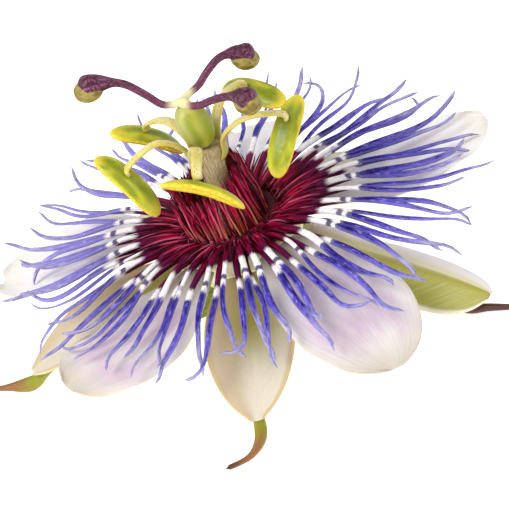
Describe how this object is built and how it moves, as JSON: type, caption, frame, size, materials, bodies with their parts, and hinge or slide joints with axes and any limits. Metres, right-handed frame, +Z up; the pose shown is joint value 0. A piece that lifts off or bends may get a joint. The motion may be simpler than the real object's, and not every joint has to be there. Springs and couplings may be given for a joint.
{
  "type": "passion flower",
  "caption": "Open passion flower with sepals and petals, a two-ring filament corona, and a column with ovary, stamens and styles, resting on its awns.",
  "frame": {"origin": "centre of the flower's bounding box in plan, on the surface that its awns stand on", "axes": "+Z up along the flower's own axis, towards the ovary and styles; the front sepal points to -Y; +X to the right seen from the front"},
  "size_m": [0.0692, 0.0644, 0.0369],
  "materials": {
    "green_flesh": "satin, fleshy green cup and stalk",
    "sepal": "satin, cream with an olive stripe, green keel and brown-tipped awn",
    "petal": "satin, white flushed with pale lilac, finely veined",
    "bract": "satin, leafy green with pale veins",
    "outer_corona": "satin, banded maroon, white, dark violet and blue-violet to greyish lilac tips",
    "inner_corona": "satin, dark maroon with tan and coral roots",
    "column": "matte, tan with fine streaks",
    "ovary": "satin, yellow-green",
    "stamen_filament": "satin, pale yellow-green with small brown specks",
    "anther": "satin, green back with yellow to orange edges",
    "style": "satin, purple with dark speckles and a cream root",
    "stigma": "matte, olive to yellow-green pad"
  },
  "bodies": {
    "root": {"calyx_cup": "green_flesh", "sepal_1": "sepal", "sepal_2": "sepal", "sepal_3": "sepal", "sepal_4": "sepal", "sepal_5": "sepal", "petal_1": "petal", "petal_2": "petal", "petal_3": "petal", "petal_4": "petal", "petal_5": "petal", "bract_1": "bract", "bract_2": "bract", "bract_3": "bract", "corona_outer": "outer_corona", "corona_inner": "inner_corona", "column": "column", "ovary": "ovary", "stamen_filament_1": "stamen_filament", "stamen_filament_2": "stamen_filament", "stamen_filament_3": "stamen_filament", "stamen_filament_4": "stamen_filament", "stamen_filament_5": "stamen_filament", "anther_1": "anther", "anther_2": "anther", "anther_3": "anther", "anther_4": "anther", "anther_5": "anther", "style_1": "style", "style_2": "style", "style_3": "style", "stigma_1": "stigma", "stigma_2": "stigma", "stigma_3": "stigma"}
  },
  "joints": []
}
